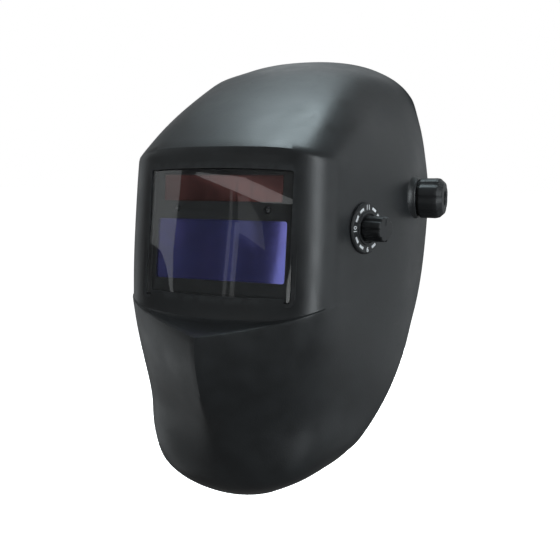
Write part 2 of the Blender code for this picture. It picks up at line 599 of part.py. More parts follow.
def rack_outline(start, stop):
    """A toothed strip above the pinion: teeth point down from y = 7.1, its back is at y = 9.6."""
    points = [(stop, 9.6), (start, 9.6)]
    centre = math.ceil((start + 0.8) / TOOTH_PITCH - 0.5) * TOOTH_PITCH + TOOTH_PITCH / 2
    if centre - 0.8 < start:
        centre += TOOTH_PITCH
    points.append((start, 7.1))
    while centre + 0.8 < stop:
        points += [(centre - 0.72, 7.1), (centre - 0.25, 5.35), (centre + 0.25, 5.35), (centre + 0.72, 7.1)]
        centre += TOOTH_PITCH
    points.append((stop, 7.1))
    return points


def build_ratchet():
    housing = solid("ratchet_housing", prism(rounded_rect(78, 36, 6), 115.5, 134, 1.5), REAR)
    combine(housing, prism(rounded_rect(72, 30, 4), 110, 131), REAR)
    combine(housing, prism(circle(4.7, 24), 128, 140), REAR)
    for s in (-1, 1):
        combine(housing, prism(moved(rounded_rect(8, 23.4, 0.8, 2), s * 38, 0), 117, 127.4), REAR)
    finish(housing, NYLON)
    finish(solid("ratchet_cover", prism(rounded_rect(78, 36, 6), 113.2, 115.2), REAR), POLYPROPYLENE)
    finish(solid("rear_pad", prism(rounded_rect(76, 34, 9), 112.9, 106, 2), REAR), FOAM)
    pinion = solid("ratchet_pinion", prism(pinion_outline(), 122.8, 126.4), REAR)
    join(pinion, prism(circle(4.2, 24), 126, 146), REAR)
    finish(pinion, NYLON_DARK, (0, 126, RATCHET_Z))
    profile = [(0, 134.5), (20.5, 134.5, 0.6), (22.5, 138, 1), (22, 146.5, 1), (18.5, 150.5, 0.6), (0, 151)]
    knob = solid("ratchet_knob", lathe(profile, 40, 10, 2), REAR)
    combine(knob, prism(circle(4.5, 24), 130, 146.4), REAR)
    finish(knob, NYLON, (0, 134.5, RATCHET_Z))
    mirrored = REAR @ Matrix.Scale(-1, 4, (1, 0, 0))
    for name, turn in (("rack_left", math.pi), ("rack_right", 0)):
        rack = prism(rack_outline(-14, 23.6), 123.7, 125.5)
        finish(solid(name, rack, mirrored @ Matrix.Rotation(turn, 4, "Z")), NYLON_DARK)


def main():
    clear_scene()
    build_shell()
    build_lens_stack()
    build_lens_frame()
    build_shade_dial()
    build_pivot(1, "left")
    build_pivot(-1, "right")
    build_headband()
    build_crown()
    build_ratchet()


main()
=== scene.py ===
import math

import bmesh
import bpy
from mathutils import Matrix, Vector


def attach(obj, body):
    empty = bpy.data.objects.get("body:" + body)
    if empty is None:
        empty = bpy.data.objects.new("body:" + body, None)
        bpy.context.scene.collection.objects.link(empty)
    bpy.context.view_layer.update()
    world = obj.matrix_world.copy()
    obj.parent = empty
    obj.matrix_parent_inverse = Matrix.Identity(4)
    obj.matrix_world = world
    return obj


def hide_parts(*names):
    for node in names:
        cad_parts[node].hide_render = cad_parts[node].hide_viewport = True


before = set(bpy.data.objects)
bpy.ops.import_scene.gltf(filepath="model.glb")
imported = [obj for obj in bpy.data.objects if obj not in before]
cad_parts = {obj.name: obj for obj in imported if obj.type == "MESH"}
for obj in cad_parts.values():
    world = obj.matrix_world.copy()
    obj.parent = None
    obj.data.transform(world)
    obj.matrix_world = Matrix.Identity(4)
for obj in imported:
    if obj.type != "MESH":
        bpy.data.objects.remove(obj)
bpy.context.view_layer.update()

# The looks of the welding helmet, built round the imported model. Lengths are in millimetres, in the
# model's own axes: +X is the wearer's left, -Y the way the wearer looks, +Z up. MM turns them into metres.
MM = 0.001

# ---------------- dimensions shared with the model
WALL = 2.6                      # shell wall
FACE_TILT = 7.6                 # the window leans back by this many degrees
FACE_CENTRE = (0.0, -130.4, -20.2)
FACE_STAND = 1.7                # the bezel's middle lies this far behind FACE_CENTRE
WINDOW = (108.8, 85.0)
WINDOW_ARCH = 1.6               # how far its top and bottom edges bow out at the middle
BEZEL_BOW = 2.4                 # how far the bezel curves back by the tunnel's sides
TUNNEL = (117.5, 97.5)          # the box behind the bezel that holds the cartridge
TUNNEL_DEPTH = 24.5             # how far behind FACE_CENTRE's plane it ends
TUNNEL_INSET = 0.3              # its front edge lies this far behind the middle of the wall
POCKET = (111.8, 91.8)          # the inside of that box
LENS_FRONT = -5.3               # the cover lens's front; the depths are from FACE_CENTRE's plane too
LATCH_DEPTH, LATCH_SPREAD = -21.7, 57.5
LEAD_HEIGHT = -16.0             # where the dial's lead enters the box, above the window's middle
SENSOR_PLACE = (35.0, 16.3)
ADF_WIDTH = 110.0
FILTER_SIZE, FILTER_HEIGHT = (103.4, 47.4), -12.0
SOLAR_SIZE, SOLAR_HEIGHT = (91.2, 18.2), 31.0
KNOB_SPREAD, KNOB_HEIGHT = 38.0, 29.0   # the two setting knobs on the back of the cartridge
DIAL_CENTRE = (89.8, -73.2, -19.0)
DIAL_NORMAL = (0.942, -0.335, 0.0)
PIVOT_X = 112.4                 # the outer face of the pivot bosses
BAND_THICK = 2.0
RIVETS = ((29.0, -3.0), (29.0, 9.0))    # y and z of the side arms' rivets
RATCHET_Z = -19.6

# ---------------- details that only the looks have
SHELL_LEVELS = 3                # subdivision of the shell's cage
WINDOW_STEPS = 32               # along its top edge and its bottom edge
FILTER_CROWN = 0.45             # how far the filter's right end falls back
FILTER_LEAN, SOLAR_LEAN = 0.24, 0.16    # how far the left end of each glass leans forward
MARK_RING = 14.7                # radius of the dial's printed ring
MARK_STEPS = 12
SIM_SCALE = 0.01                # the pads are inflated at ten times their real size

# Control points of the shell's outer face, the wearer's left half: one row from the rim at the crown
# down to the rim at the chin, each from the middle round the corner and along the side to the rear rim.
SHELL_ROWS = [
    # crown rim
    [(0, 42, 113.5), (20, 42, 113), (40, 41.5, 110.5), (56, 41, 106.5), (67, 40.7, 102),
     (75, 40.5, 98), (81.5, 40, 94), (87, 39.7, 89.5), (91, 39.3, 85.5), (94.5, 39, 81),
     (97.5, 38.5, 76.5)],
    # crest
    [(0, -16, 98.5), (20, -14, 98.4), (40, -9, 98), (56, -1, 97), (67, 8, 95), (76, 16, 92),
     (83.5, 24, 87.5), (89.5, 30, 82), (94, 34, 77), (98, 36.5, 71), (101, 37, 65.5)],
    # upper forehead
    [(0, -52, 82.5), (20, -51, 82.3), (40, -48.5, 81.2), (56, -44, 79.5), (68, -37, 75.5),
     (76.5, -28, 69.5), (83.5, -17, 63.5), (90.5, -6, 58.5), (97.5, 8, 55), (102.5, 22, 52),
     (106, 35, 50)],
    # lower forehead
    [(0, -88, 61.5), (20, -87.3, 61.3), (40, -85.5, 60.8), (55, -82.5, 59.8), (67, -77.5, 57),
     (76.5, -69, 52.5), (84, -56.5, 47), (91.5, -38, 41), (99.8, -12, 37), (107, 11, 34),
     (109.4, 33.5, 31)],
    # top edge of the bezel
    [(0, -121.8, 38), (20, -121.7, 37.9), (40, -121, 37.3), (55, -119.2, 35.8), (67, -113.8, 33),
     (76, -105.2, 29.5), (80, -94.7, 26), (84.5, -82, 22.5), (97, -47, 18.5), (110.5, -8, 15),
     (112.2, 33, 12)],
    # bezel, above the window's middle
    [(0, -124.6, 14), (20, -124.5, 14), (40, -124, 14), (56, -122.6, 14), (69, -116.2, 13),
     (78, -105.3, 12), (81.3, -94.6, 10), (85, -86, 8), (97.5, -51, 3), (111.5, -9, 0), (113, 33.5, -3)],
    # bezel, below the window's middle
    [(0, -131.5, -44), (20, -131.3, -44), (40, -130.8, -44), (57, -129, -43), (70, -122.6, -42),
     (79.3, -111.3, -41), (82, -98.9, -41), (85, -88.5, -42), (96.5, -56, -46), (110, -14, -52),
     (112.2, 22, -58)],
    # lower edge of the bezel
    [(0, -135.8, -80.5), (20, -135.5, -80), (40, -134.6, -78.5), (57, -131.8, -76), (69.5, -125, -72.5),
     (78.5, -113.4, -69), (82, -101.2, -67), (85, -89.5, -67.5), (94.5, -61, -73), (106.5, -24, -82),
     (110.2, 5.5, -88)],
    # ledge
    [(0, -162.5, -87.6), (20, -153, -85), (40, -143, -81.5), (57, -134.3, -78), (69.5, -126.8, -74),
     (78.3, -115, -70.5), (82.3, -102.3, -69.5), (85.2, -90.5, -71.5), (94.2, -63.5, -78),
     (105.3, -30, -88), (109.4, -3.5, -96)],
    # upper keel
    [(0, -163, -109), (20, -152.5, -107), (40, -141, -104.5), (56, -131, -102), (68.5, -121.5, -100),
     (76.6, -112.5, -99), (81, -102, -99), (84.7, -91, -100.5), (93.2, -69, -106), (102, -41, -114),
     (107.3, -16.5, -121)],
    # lower keel
    [(0, -153.5, -136), (19, -145.5, -135), (37, -136, -133.5), (51.5, -127, -132), (62.5, -118.5, -131),
     (70.5, -109.5, -130.5), (76, -100, -130.5), (81, -90, -131.5), (89, -72.5, -135),
     (97, -51.5, -141), (101, -33, -146)],
    # throat
    [(0, -141, -159), (17, -135.5, -158.5), (33, -128.5, -157.5), (47, -121.5, -156.5),
     (58.5, -114, -155.5), (67.3, -105.5, -155), (73.5, -96.5, -155), (78.6, -87, -155.5),
     (84.3, -73.5, -157.5), (89.8, -59.5, -161), (93.6, -47.5, -164.5)],
    # upper flare
    [(0, -135.5, -181), (16, -134, -180.5), (32, -130, -179.5), (47, -123.5, -178.5),
     (60.5, -114.5, -177.5), (69.7, -105, -176.5), (75.7, -95.5, -176), (79.5, -86, -176.5),
     (82.8, -76, -178), (83.6, -68, -180), (83.4, -60.5, -182.5)],
    # lower flare
    [(0, -131, -208.3), (15.5, -130.5, -208), (31.5, -128.8, -205.3), (46.5, -123, -202),
     (58, -113.5, -199), (63.8, -100.5, -196.3), (67.8, -91.5, -193.5), (71, -84, -191),
     (74.3, -76.5, -189.5), (77, -70.5, -188), (79, -64.5, -186)],
    # chin rim
    [(0, -104, -220.4), (14, -103.3, -219), (27, -101.5, -216.2), (38, -98.5, -211.3),
     (47.5, -93, -206.6), (56, -87, -202.6), (62.5, -82.3, -198.8), (67, -78, -196),
     (70.5, -74.5, -193.7), (73.5, -71, -191.3), (76, -68, -189)],
]
CREST, BEZEL_TOP, BEZEL_FOOT, LEDGE = 1, 4, 7, 8
ROW_CREASE = {CREST: 0.35, BEZEL_TOP: 0.85, BEZEL_FOOT: 0.8, LEDGE: 0.85}
CORNER_COLUMN = 6
KEEL_ROWS = {LEDGE: 0.9, LEDGE + 1: 0.8, LEDGE + 2: 0.5}


# ---------------- frames, in mm
def axes(origin, x_axis, z_axis):
    z = Vector(z_axis).normalized()
    x = Vector(x_axis)
    x = (x - z * x.dot(z)).normalized()
    m = Matrix((x, z.cross(x), z)).transposed().to_4x4()
    m.translation = Vector(origin)
    return m


TILT = math.radians(FACE_TILT)
WORLD = Matrix.Identity(4)
FACE = axes(FACE_CENTRE, (1, 0, 0), (0, -math.cos(TILT), math.sin(TILT)))   # across, up, out of the window
TO_FACE = FACE.inverted()
DIAL = axes(DIAL_CENTRE, (0, 0, 1), DIAL_NORMAL)        # up, forward, out of the panel
REAR = axes((0, 0, RATCHET_Z), (1, 0, 0), (0, 1, 0))    # across, down, rearwards
CROWN = axes((0, 0, 0), (1, 0, 0), (0, -1, 0))          # across, up, forwards


def side(s):
    return axes((0, 0, 0), (0, -1, 0), (s, 0, 0))


def shifted(m, x, y):
    return m @ Matrix.Translation((x, y, 0))


# ---------------- outlines and solids, in mm
def rounded_rect(width, height, radius, per_corner=8, per_side=1):
    points = []
    for cx, cy, start in ((1, 1, 0), (-1, 1, 90), (-1, -1, 180), (1, -1, 270)):
        x, y = cx * (width / 2 - radius), cy * (height / 2 - radius)
        corner = []
        for k in range(per_corner + 1):
            t = math.radians(start + 90 * k / per_corner)
            corner.append(Vector((x + radius * math.cos(t), y + radius * math.sin(t))))
        points += corner
        if per_side > 1:
            t = math.radians(start + 90)
            turn = Matrix.Rotation(math.radians(90), 2)
            after = turn @ Vector((cx, cy))
            nxt = Vector((after.x * (width / 2 - radius) + radius * math.cos(t),
                          after.y * (height / 2 - radius) + radius * math.sin(t)))
            points += [corner[-1].lerp(nxt, k / per_side) for k in range(1, per_side)]
    return [tuple(p) for p in points]


def circle(radius, count):
    turn = 2 * math.pi / count
    return [(radius * math.cos(turn * k), radius * math.sin(turn * k)) for k in range(count)]


def eased(points, radius, steps=4, closed=False):
    """A polyline with its corners rounded; a point's third number, the share of the lobes, is kept."""
    points = [tuple(p) + (0.0,) * (3 - len(p)) for p in points]
    out = []
    count = len(points)
    for i, p in enumerate(points):
        if not closed and i in (0, count - 1):
            out.append(p)
            continue
        a, b = points[i - 1], points[(i + 1) % count]
        here = Vector(p[:2])
        to_a, to_b = Vector(a[:2]) - here, Vector(b[:2]) - here
        r = min(radius, 0.45 * to_a.length, 0.45 * to_b.length)
        start, end = here + to_a.normalized() * r, here + to_b.normalized() * r
        for k in range(steps + 1):
            t = k / steps
            q = start * (1 - t) ** 2 + here * 2 * t * (1 - t) + end * t * t
            out.append((q.x, q.y, p[2]))
    return out


def prism(outline, low, high):
    bm = bmesh.new()
    bottom = [bm.verts.new((x, y, low)) for x, y in outline]
    top = [bm.verts.new((x, y, high)) for x, y in outline]
    bm.faces.new(bottom)
    bm.faces.new(top)
    rings_of(bm, [bottom, top])
    return bm


def rings_of(bm, loops, closed=False):
    """Faces between loops of equal length, each loop closed on itself."""
    pairs = list(zip(loops, loops[1:])) + ([(loops[-1], loops[0])] if closed else [])
    for a, b in pairs:
        for i in range(len(a)):
            j = (i + 1) % len(a)
            bm.faces.new((a[i], a[j], b[j], b[i]))


def frame_ring(outer, inner, front, back):
    """A frame between two outlines; front gives the height of its front face at a distance across."""
    bm = bmesh.new()
    loops = [[bm.verts.new((x, y, front(x))) for x, y in outer],
             [bm.verts.new((x, y, front(x))) for x, y in inner],
             [bm.verts.new((x, y, back)) for x, y in inner],
             [bm.verts.new((x, y, back)) for x, y in outer]]
    rings_of(bm, loops, closed=True)
    return bm


def lathe(profile, count=96, lobes=0, depth=0.0, power=1.5):
    """A profile of (radius, height, share of the lobes) turned round z; open profiles end on the axis."""
    bm = bmesh.new()
    rings = []
    for r, h, share in [tuple(p) + (0.0,) * (3 - len(p)) for p in profile]:
        if r < 1e-6:
            rings.append([bm.verts.new((0, 0, h))])
            continue
        ring = []
        for k in range(count):
            t = 2 * math.pi * k / count
            flute = max(0.0, math.cos(lobes * t)) ** power if lobes else 0.0
            rr = r - depth * share * flute
            ring.append(bm.verts.new((rr * math.cos(t), rr * math.sin(t), h)))
        rings.append(ring)
    pairs = list(zip(rings, rings[1:]))
    if len(rings[0]) > 1:
        pairs.append((rings[-1], rings[0]))
    for a, b in pairs:
        for k in range(count):
            j = (k + 1) % count
            if len(a) == 1:
                bm.faces.new((a[0], b[j], b[k]))
            elif len(b) == 1:
                bm.faces.new((a[k], a[j], b[0]))
            else:
                bm.faces.new((a[k], a[j], b[j], b[k]))
    return bm


def spline(points, per_span=8):
    """Points along a smooth curve through the given ones (Catmull-Rom), in two or three dimensions."""
    ends = [[2 * a - b for a, b in zip(points[0], points[1])], *points,
            [2 * a - b for a, b in zip(points[-1], points[-2])]]
    out = []
    for p0, p1, p2, p3 in zip(ends, ends[1:], ends[2:], ends[3:]):
        for k in range(per_span):
            t = k / per_span
            out.append(tuple(0.5 * (2 * b + (c - a) * t + (2 * a - 5 * b + 4 * c - d) * t * t
                                    + (3 * b - a - 3 * c + d) * t ** 3)
                             for a, b, c, d in zip(p0, p1, p2, p3)))
    out.append(tuple(points[-1]))
    return out


def band_section(thickness, bead, edge=0.5, lip=2.4):
    """A strap's cross-section: (depth, share of the height, height added), with a bead along each edge."""
    t, b = thickness, bead
    lower = [(edge, 0, 0), (t + b - edge, 0, 0), (t + b, 0, edge), (t + b, 0, lip - edge), (t, 0, lip)]
    upper = [(d, 1, -h) for d, f, h in reversed(lower)]
    return lower + [(t, 0.5, 0)] + upper + [(0, 1, -edge), (0, 0.5, 0), (0, 0, edge)]


def band(path, heights, section):
    """A strap along a plan path: the section runs from its inner face (depth 0) outwards."""
    bm = bmesh.new()
    loops = []
    for i, (x, y) in enumerate(path):
        ax, ay = path[max(i - 1, 0)]
        bx, by = path[min(i + 1, len(path) - 1)]
        n = Vector((-(by - ay), bx - ax)).normalized()
        low, high = heights(x, y)
        loops.append([bm.verts.new((x + n.x * d, y + n.y * d, low + share * (high - low) + h))
                      for d, share, h in section])
    rings_of(bm, loops)
    bm.faces.new(loops[0])
    bm.faces.new(loops[-1][::-1])
    return bm


def tube(path, radius, count=16):
    bm = bmesh.new()
    points = [Vector(p) for p in path]
    loops = []
    for i, p in enumerate(points):
        ahead = (points[min(i + 1, len(points) - 1)] - points[max(i - 1, 0)]).normalized()
        across = ahead.cross(Vector((0, 0, 1))).normalized()
        up = across.cross(ahead)
        turn = 2 * math.pi / count
        loops.append([bm.verts.new(p + (across * math.cos(turn * k) + up * math.sin(turn * k)) * radius)
                      for k in range(count)])
    rings_of(bm, loops)
    bm.faces.new(loops[0])
    bm.faces.new(loops[-1])
    return bm


# ---------------- objects
def linked(name, data):
    obj = bpy.data.objects.new(name, data)
    bpy.context.scene.collection.objects.link(obj)
    return obj


def solid(name, bm, matrix=WORLD):
    bmesh.ops.transform(bm, matrix=matrix, verts=bm.verts)
    bmesh.ops.recalc_face_normals(bm, faces=bm.faces)
    mesh = bpy.data.meshes.new(name)
    bm.to_mesh(mesh)
    bm.free()
    return linked(name, mesh)


def settle(obj):
    """Turn an object's modifiers into plain geometry."""
    bpy.context.view_layer.update()
    shaped = obj.evaluated_get(bpy.context.evaluated_depsgraph_get())
    mesh = bpy.data.meshes.new_from_object(shaped)
    obj.modifiers.clear()
    obj.data = mesh


def joined(*parts):
    """One bmesh from several (bmesh, matrix) pairs that don't touch each other."""
    out = bmesh.new()
    for bm, matrix in parts:
        bmesh.ops.transform(bm, matrix=matrix, verts=bm.verts)
        bmesh.ops.recalc_face_normals(bm, faces=bm.faces)
        mesh = bpy.data.meshes.new("part")
        bm.to_mesh(mesh)
        bm.free()
        out.from_mesh(mesh)
        bpy.data.meshes.remove(mesh)
    return out


def combine(obj, bm, matrix=WORLD, operation="DIFFERENCE"):
    cutter = solid("cutter", bm, matrix)
    mod = obj.modifiers.new("cut", "BOOLEAN")
    mod.operation = operation
    mod.solver = "EXACT"
    mod.object = cutter
    settle(obj)
    bpy.data.objects.remove(cutter)


def piece(obj, body, material, replaces=(), sharp=32):
    """Finish a new piece: scale it to metres, shade it, give it its material and put it on its body."""
    mesh = obj.data
    mesh.transform(Matrix.Scale(MM, 4))
    mesh.shade_smooth()
    mesh.set_sharp_from_angle(angle=math.radians(sharp))
    mesh.materials.clear()
    mesh.materials.append(material)
    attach(obj, body)
    if replaces:
        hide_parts(*replaces)


def dress(node, material, bevel=0.0):
    """Give a model node its material, and soften its edges."""
    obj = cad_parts[node]
    if obj.material_slots:
        for s in obj.material_slots:
            s.material = material
    else:
        obj.data.materials.append(material)
    if bevel:
        weld = obj.modifiers.new("weld", "WELD")
        weld.merge_threshold = 0.01 * MM
        edges = obj.modifiers.new("edges", "BEVEL")
        edges.width = bevel * MM
        edges.segments = 2
        edges.limit_method = "ANGLE"
        edges.angle_limit = math.radians(35)
        edges.harden_normals = True


# ---------------- materials
def shade(name, colour, roughness, metallic=0.0, **constants):
    """A material with one Principled shader; constants go straight onto its sockets."""
    mat = bpy.data.materials.new(name)
    mat.use_nodes = True
    mat.diffuse_color = (*colour, 1)
    shader = mat.node_tree.nodes["Principled BSDF"]
    shader.inputs["Base Color"].default_value = (*colour, 1)
    shader.inputs["Roughness"].default_value = roughness
    shader.inputs["Metallic"].default_value = metallic
    for key, value in constants.items():
        shader.inputs[key.replace("_", " ")].default_value = value
    return mat, shader


def add(mat, kind, settings=None, **inputs):
    """A node; an input given as a socket is linked, any other is set."""
    node = mat.node_tree.nodes.new("ShaderNode" + kind)
    for key, value in (settings or {}).items():
        setattr(node, key, value)
    for key, value in inputs.items():
        connect(mat, node.inputs[key.replace("_", " ")], value)
    return node


def connect(mat, socket, value):
    if isinstance(value, bpy.types.NodeSocket):
        mat.node_tree.links.new(value, socket)
    else:
        socket.default_value = value


def blend_colours(mat, factor, a, b):
    node = mat.node_tree.nodes.new("ShaderNodeMix")
    node.data_type = "RGBA"
    for index, value in ((0, factor), (6, a), (7, b)):
        connect(mat, node.inputs[index], (*value, 1) if isinstance(value, tuple) else value)
    return node.outputs[2]


def scaled(colour, factor):
    return tuple(factor * c for c in colour)


def place_of(mat):
    return add(mat, "TexCoord").outputs["Object"]


def noise(mat, scale, detail=3.0, stretch=(1, 1, 1)):
    place = place_of(mat)
    if stretch != (1, 1, 1):
        place = add(mat, "Mapping", Vector=place, Scale=stretch).outputs[0]
    return add(mat, "TexNoise", Vector=place, Scale=scale, Detail=detail).outputs[0]


def ranged(mat, value, low, high, to_low, to_high):
    node = add(mat, "MapRange", Value=value)
    for key, number in (("From Min", low), ("From Max", high), ("To Min", to_low), ("To Max", to_high)):
        node.inputs[key].default_value = number
    return node.outputs[0]


def maths(mat, operation, a, b=0.0):
    node = add(mat, "Math", {"operation": operation})
    connect(mat, node.inputs[0], a)
    connect(mat, node.inputs[1], b)
    return node.outputs[0]


def bump(mat, shader, height, distance, strength=1.0):
    node = add(mat, "Bump", Height=height, Distance=distance, Strength=strength)
    connect(mat, shader.inputs["Normal"], node.outputs[0])


def surface(mat, shader, tone=None, rough=None):
    for name, source in (("Base Color", tone), ("Roughness", rough)):
        if source:
            connect(mat, shader.inputs[name], source)


def moulded(name, colour, roughness, grain, depth=2.5e-5, wear=0.25):
    """Moulded plastic: a fine texture, a faintly uneven tone, handling marks and paler worn edges."""
    mat, shader = shade(name, colour, roughness)
    broad = noise(mat, 55.0, 4.0)
    uneven = ranged(mat, broad, 0.35, 0.65, 0, 1)
    tone = blend_colours(mat, uneven, scaled(colour, 0.86), scaled(colour, 1.16))
    scuffs = ranged(mat, noise(mat, 240.0, 6.0, (1, 0.22, 1.6)), 0.6, 0.74, 0, 1)
    if wear:
        point = add(mat, "NewGeometry").outputs["Pointiness"]
        edge = ranged(mat, point, 0.515, 0.6, 0, wear)
        patchy = maths(mat, "MULTIPLY", edge, ranged(mat, noise(mat, 160.0, 5.0), 0.4, 0.62, 0.15, 1))
        tone = blend_colours(mat, patchy, tone, tuple(min(1, 3.2 * c + 0.02) for c in colour))
    even = ranged(mat, broad, 0.3, 0.7, roughness - 0.05, roughness + 0.05)
    surface(mat, shader, tone, maths(mat, "ADD", even, maths(mat, "MULTIPLY", scuffs, 0.05)))
    bump(mat, shader, noise(mat, grain, 2.0), depth)
    return mat


def clear_plate(name, tint, roughness):
    """Thin clear plate that lets the lamps' light through to what lies behind it."""
    mat, shader = shade(name, tint, roughness, Transmission_Weight=1.0, IOR=1.46)
    smears = noise(mat, 70.0, 5.0, (1, 1, 0.5))
    surface(mat, shader, rough=ranged(mat, smears, 0.45, 0.8, roughness, roughness + 0.012))
    through = add(mat, "BsdfTransparent", Color=(*tint, 1))
    both = add(mat, "MixShader")
    sources = (add(mat, "LightPath").outputs["Is Shadow Ray"], shader.outputs[0], through.outputs[0])
    for socket, source in zip(both.inputs, sources):
        connect(mat, socket, source)
    connect(mat, mat.node_tree.nodes["Material Output"].inputs["Surface"], both.outputs[0])
    return mat


def coated_glass(name, colour, metallic, roughness, haze):
    """Dark glass under a reflecting coat, a little uneven in tone."""
    mat, shader = shade(name, colour, roughness, metallic, Coat_Weight=0.35, Coat_Roughness=0.03)
    cloud = ranged(mat, noise(mat, 24.0, 3.0), 0.35, 0.7, 0, 1)
    rough = ranged(mat, noise(mat, 90.0, 4.0), 0.3, 0.7, roughness, roughness + 0.03)
    surface(mat, shader, blend_colours(mat, cloud, colour, haze), rough)
    return mat


def solar(name):
    """Amorphous solar cell: dark red-brown glass with a fine dark line between its strips."""
    mat, shader = shade(name, (0.05, 0.018, 0.018), 0.08, 0.88)
    x = add(mat, "SeparateXYZ", Vector=place_of(mat)).outputs[0]
    phase = maths(mat, "FRACT", maths(mat, "MULTIPLY", x, 88.0))
    line = ranged(mat, maths(mat, "ABSOLUTE", maths(mat, "SUBTRACT", phase, 0.5)), 0.465, 0.49, 0, 1)
    cloud = blend_colours(mat, noise(mat, 60.0, 4.0), (0.12, 0.043, 0.040), (0.17, 0.066, 0.062))
    tone = blend_colours(mat, line, cloud, (0.03, 0.012, 0.012))
    surface(mat, shader, tone)
    bump(mat, shader, line, 2e-5, 0.6)
    return mat


def metal(name, colour, roughness, stretch):
    """Turned or drawn metal with fine lines and a few dull patches."""
    mat, shader = shade(name, colour, roughness, 1.0)
    lines = noise(mat, 900.0, 3.0, stretch)
    dull = ranged(mat, noise(mat, 130.0, 4.0), 0.4, 0.65, 0, 1)
    rough = ranged(mat, lines, 0.3, 0.7, roughness - 0.08, roughness + 0.12)
    surface(mat, shader, blend_colours(mat, dull, colour, scaled(colour, 0.72)), rough)
    bump(mat, shader, lines, 1.5e-5, 0.5)
    return mat


def circuit(name):
    """Green solder mask with paler copper tracks under it."""
    mat, shader = shade(name, (0.01, 0.12, 0.04), 0.4, 0.0, Coat_Weight=0.3)
    tracks = add(mat, "TexBrick", {"offset": 0.37}, Vector=place_of(mat), Scale=160.0,
                 Mortar_Size=0.06).outputs[1]
    tone = blend_colours(mat, tracks, (0.008, 0.09, 0.03), (0.05, 0.24, 0.09))
    surface(mat, shader, tone)
    bump(mat, shader, tracks, 4e-5, 0.5)
    return mat


def pad_cloth(name, colour):
    """Brushed knit over foam, punched with small air holes in staggered rows."""
    mat, shader = shade(name, colour, 0.9, Sheen_Weight=0.35, Sheen_Roughness=0.5)
    holes = add(mat, "TexVoronoi", {"feature": "F1"}, Vector=place_of(mat), Scale=230.0,
                Randomness=0.25).outputs[0]
    pit = ranged(mat, holes, 0.18, 0.3, 1, 0)
    knit = noise(mat, 1500.0, 2.0, (1, 1, 2.2))
    cloud = ranged(mat, noise(mat, 70.0, 4.0), 0.35, 0.65, 0, 1)
    tone = blend_colours(mat, cloud, scaled(colour, 0.75), scaled(colour, 1.35))
    tone = blend_colours(mat, ranged(mat, knit, 0.3, 0.7, 0, 0.35), tone, scaled(colour, 2.2))
    tone = blend_colours(mat, pit, tone, scaled(colour, 0.12))
    surface(mat, shader, tone)
    height = maths(mat, "SUBTRACT", maths(mat, "MULTIPLY", knit, 0.5), pit)
    bump(mat, shader, height, 2.5e-4, 0.7)
    return mat


def ink(name, colour):
    """Pad-printed marks, thin enough in places for the plate to show."""
    mat, shader = shade(name, colour, 0.45)
    thin = ranged(mat, noise(mat, 700.0, 4.0), 0.3, 0.52, 0.75, 0)
    tone = blend_colours(mat, thin, colour, scaled(colour, 0.62))
    surface(mat, shader, tone)
    bump(mat, shader, noise(mat, 1200.0, 2.0), 1e-5)
    return mat


NYLON = moulded("satin_nylon", (0.0135, 0.0152, 0.0166), 0.37, grain=900.0, depth=6e-5)
NYLON_KNOB = moulded("knob_nylon", (0.0110, 0.0122, 0.0135), 0.47, grain=1600, wear=0.35)
NYLON_DARK = moulded("matt_nylon", (0.0070, 0.0076, 0.0084), 0.5, grain=1700, wear=0.0)
NYLON_INNER = moulded("frame_nylon", (0.0100, 0.0110, 0.0120), 0.45, grain=1500, wear=0.0)
POLY = moulded("harness_polypropylene", (0.0180, 0.0190, 0.0210), 0.42, grain=900, depth=1.5e-5, wear=0.0)
RUBBER = moulded("rubber", (0.0080, 0.0080, 0.0085), 0.75, grain=2200, depth=4e-5, wear=0.0)
CLEAR = clear_plate("clear_polycarbonate", (0.97, 0.98, 0.98), 0.0)
FILTER = coated_glass("filter_coating", (0.10, 0.105, 0.34), 0.9, 0.06, (0.13, 0.12, 0.38))
CELL = coated_glass("crystal_cell", (0.02, 0.05, 0.035), 0.2, 0.08, (0.03, 0.06, 0.05))
SENSOR = coated_glass("sensor_window", (0.006, 0.006, 0.007), 0.0, 0.05, (0.012, 0.012, 0.014))
SOLAR = solar("solar_cell_glass")
BOARD = circuit("solder_mask")
BRASS = metal("turned_brass", (0.72, 0.5, 0.22), 0.28, (6, 1, 1))
STEEL = metal("zinc_plate", (0.58, 0.6, 0.62), 0.3, (1, 6, 1))
CLOTH = pad_cloth("pad_cloth", (0.02, 0.021, 0.024))
PRINT = ink("white_print", (0.78, 0.8, 0.82))


# ---------------- the shell
def shell_cage():
    """Control cage of the outer face, the half above and its mirror, creased along the moulding's edges."""
    bm = bmesh.new()
    crease = bm.edges.layers.float.new("crease_edge")
    grid = []
    for row in SHELL_ROWS:
        left = [(-x, y, z) for x, y, z in reversed(row[1:])]
        grid.append([bm.verts.new(p) for p in left + row])
    middle = len(SHELL_ROWS[0]) - 1
    for upper, lower in zip(grid, grid[1:]):
        for i in range(len(upper) - 1):
            bm.faces.new((upper[i], lower[i], lower[i + 1], upper[i + 1]))
    for r, value in ROW_CREASE.items():
        for i in range(len(grid[r]) - 1):
            reach = max(abs(i - middle), abs(i + 1 - middle))
            fade = max(0.0, min(1.0, (CORNER_COLUMN + 2 - reach) / 3))
            bm.edges.get((grid[r][i], grid[r][i + 1]))[crease] = value * fade
    for r, value in KEEL_ROWS.items():
        bm.edges.get((grid[r][middle], grid[r + 1][middle]))[crease] = value
    return bm


def window_outline():
    half_w, half_h = WINDOW[0] / 2, WINDOW[1] / 2
    xs = [half_w - 2 * half_w * k / WINDOW_STEPS for k in range(WINDOW_STEPS + 1)]
    bow = [(x, half_h + WINDOW_ARCH * (1 - (x / half_w) ** 2)) for x in xs]
    outline = bow + [(-x, -y) for x, y in bow]
    return [p[:2] for p in eased(outline, 2.6, 5, closed=True)]


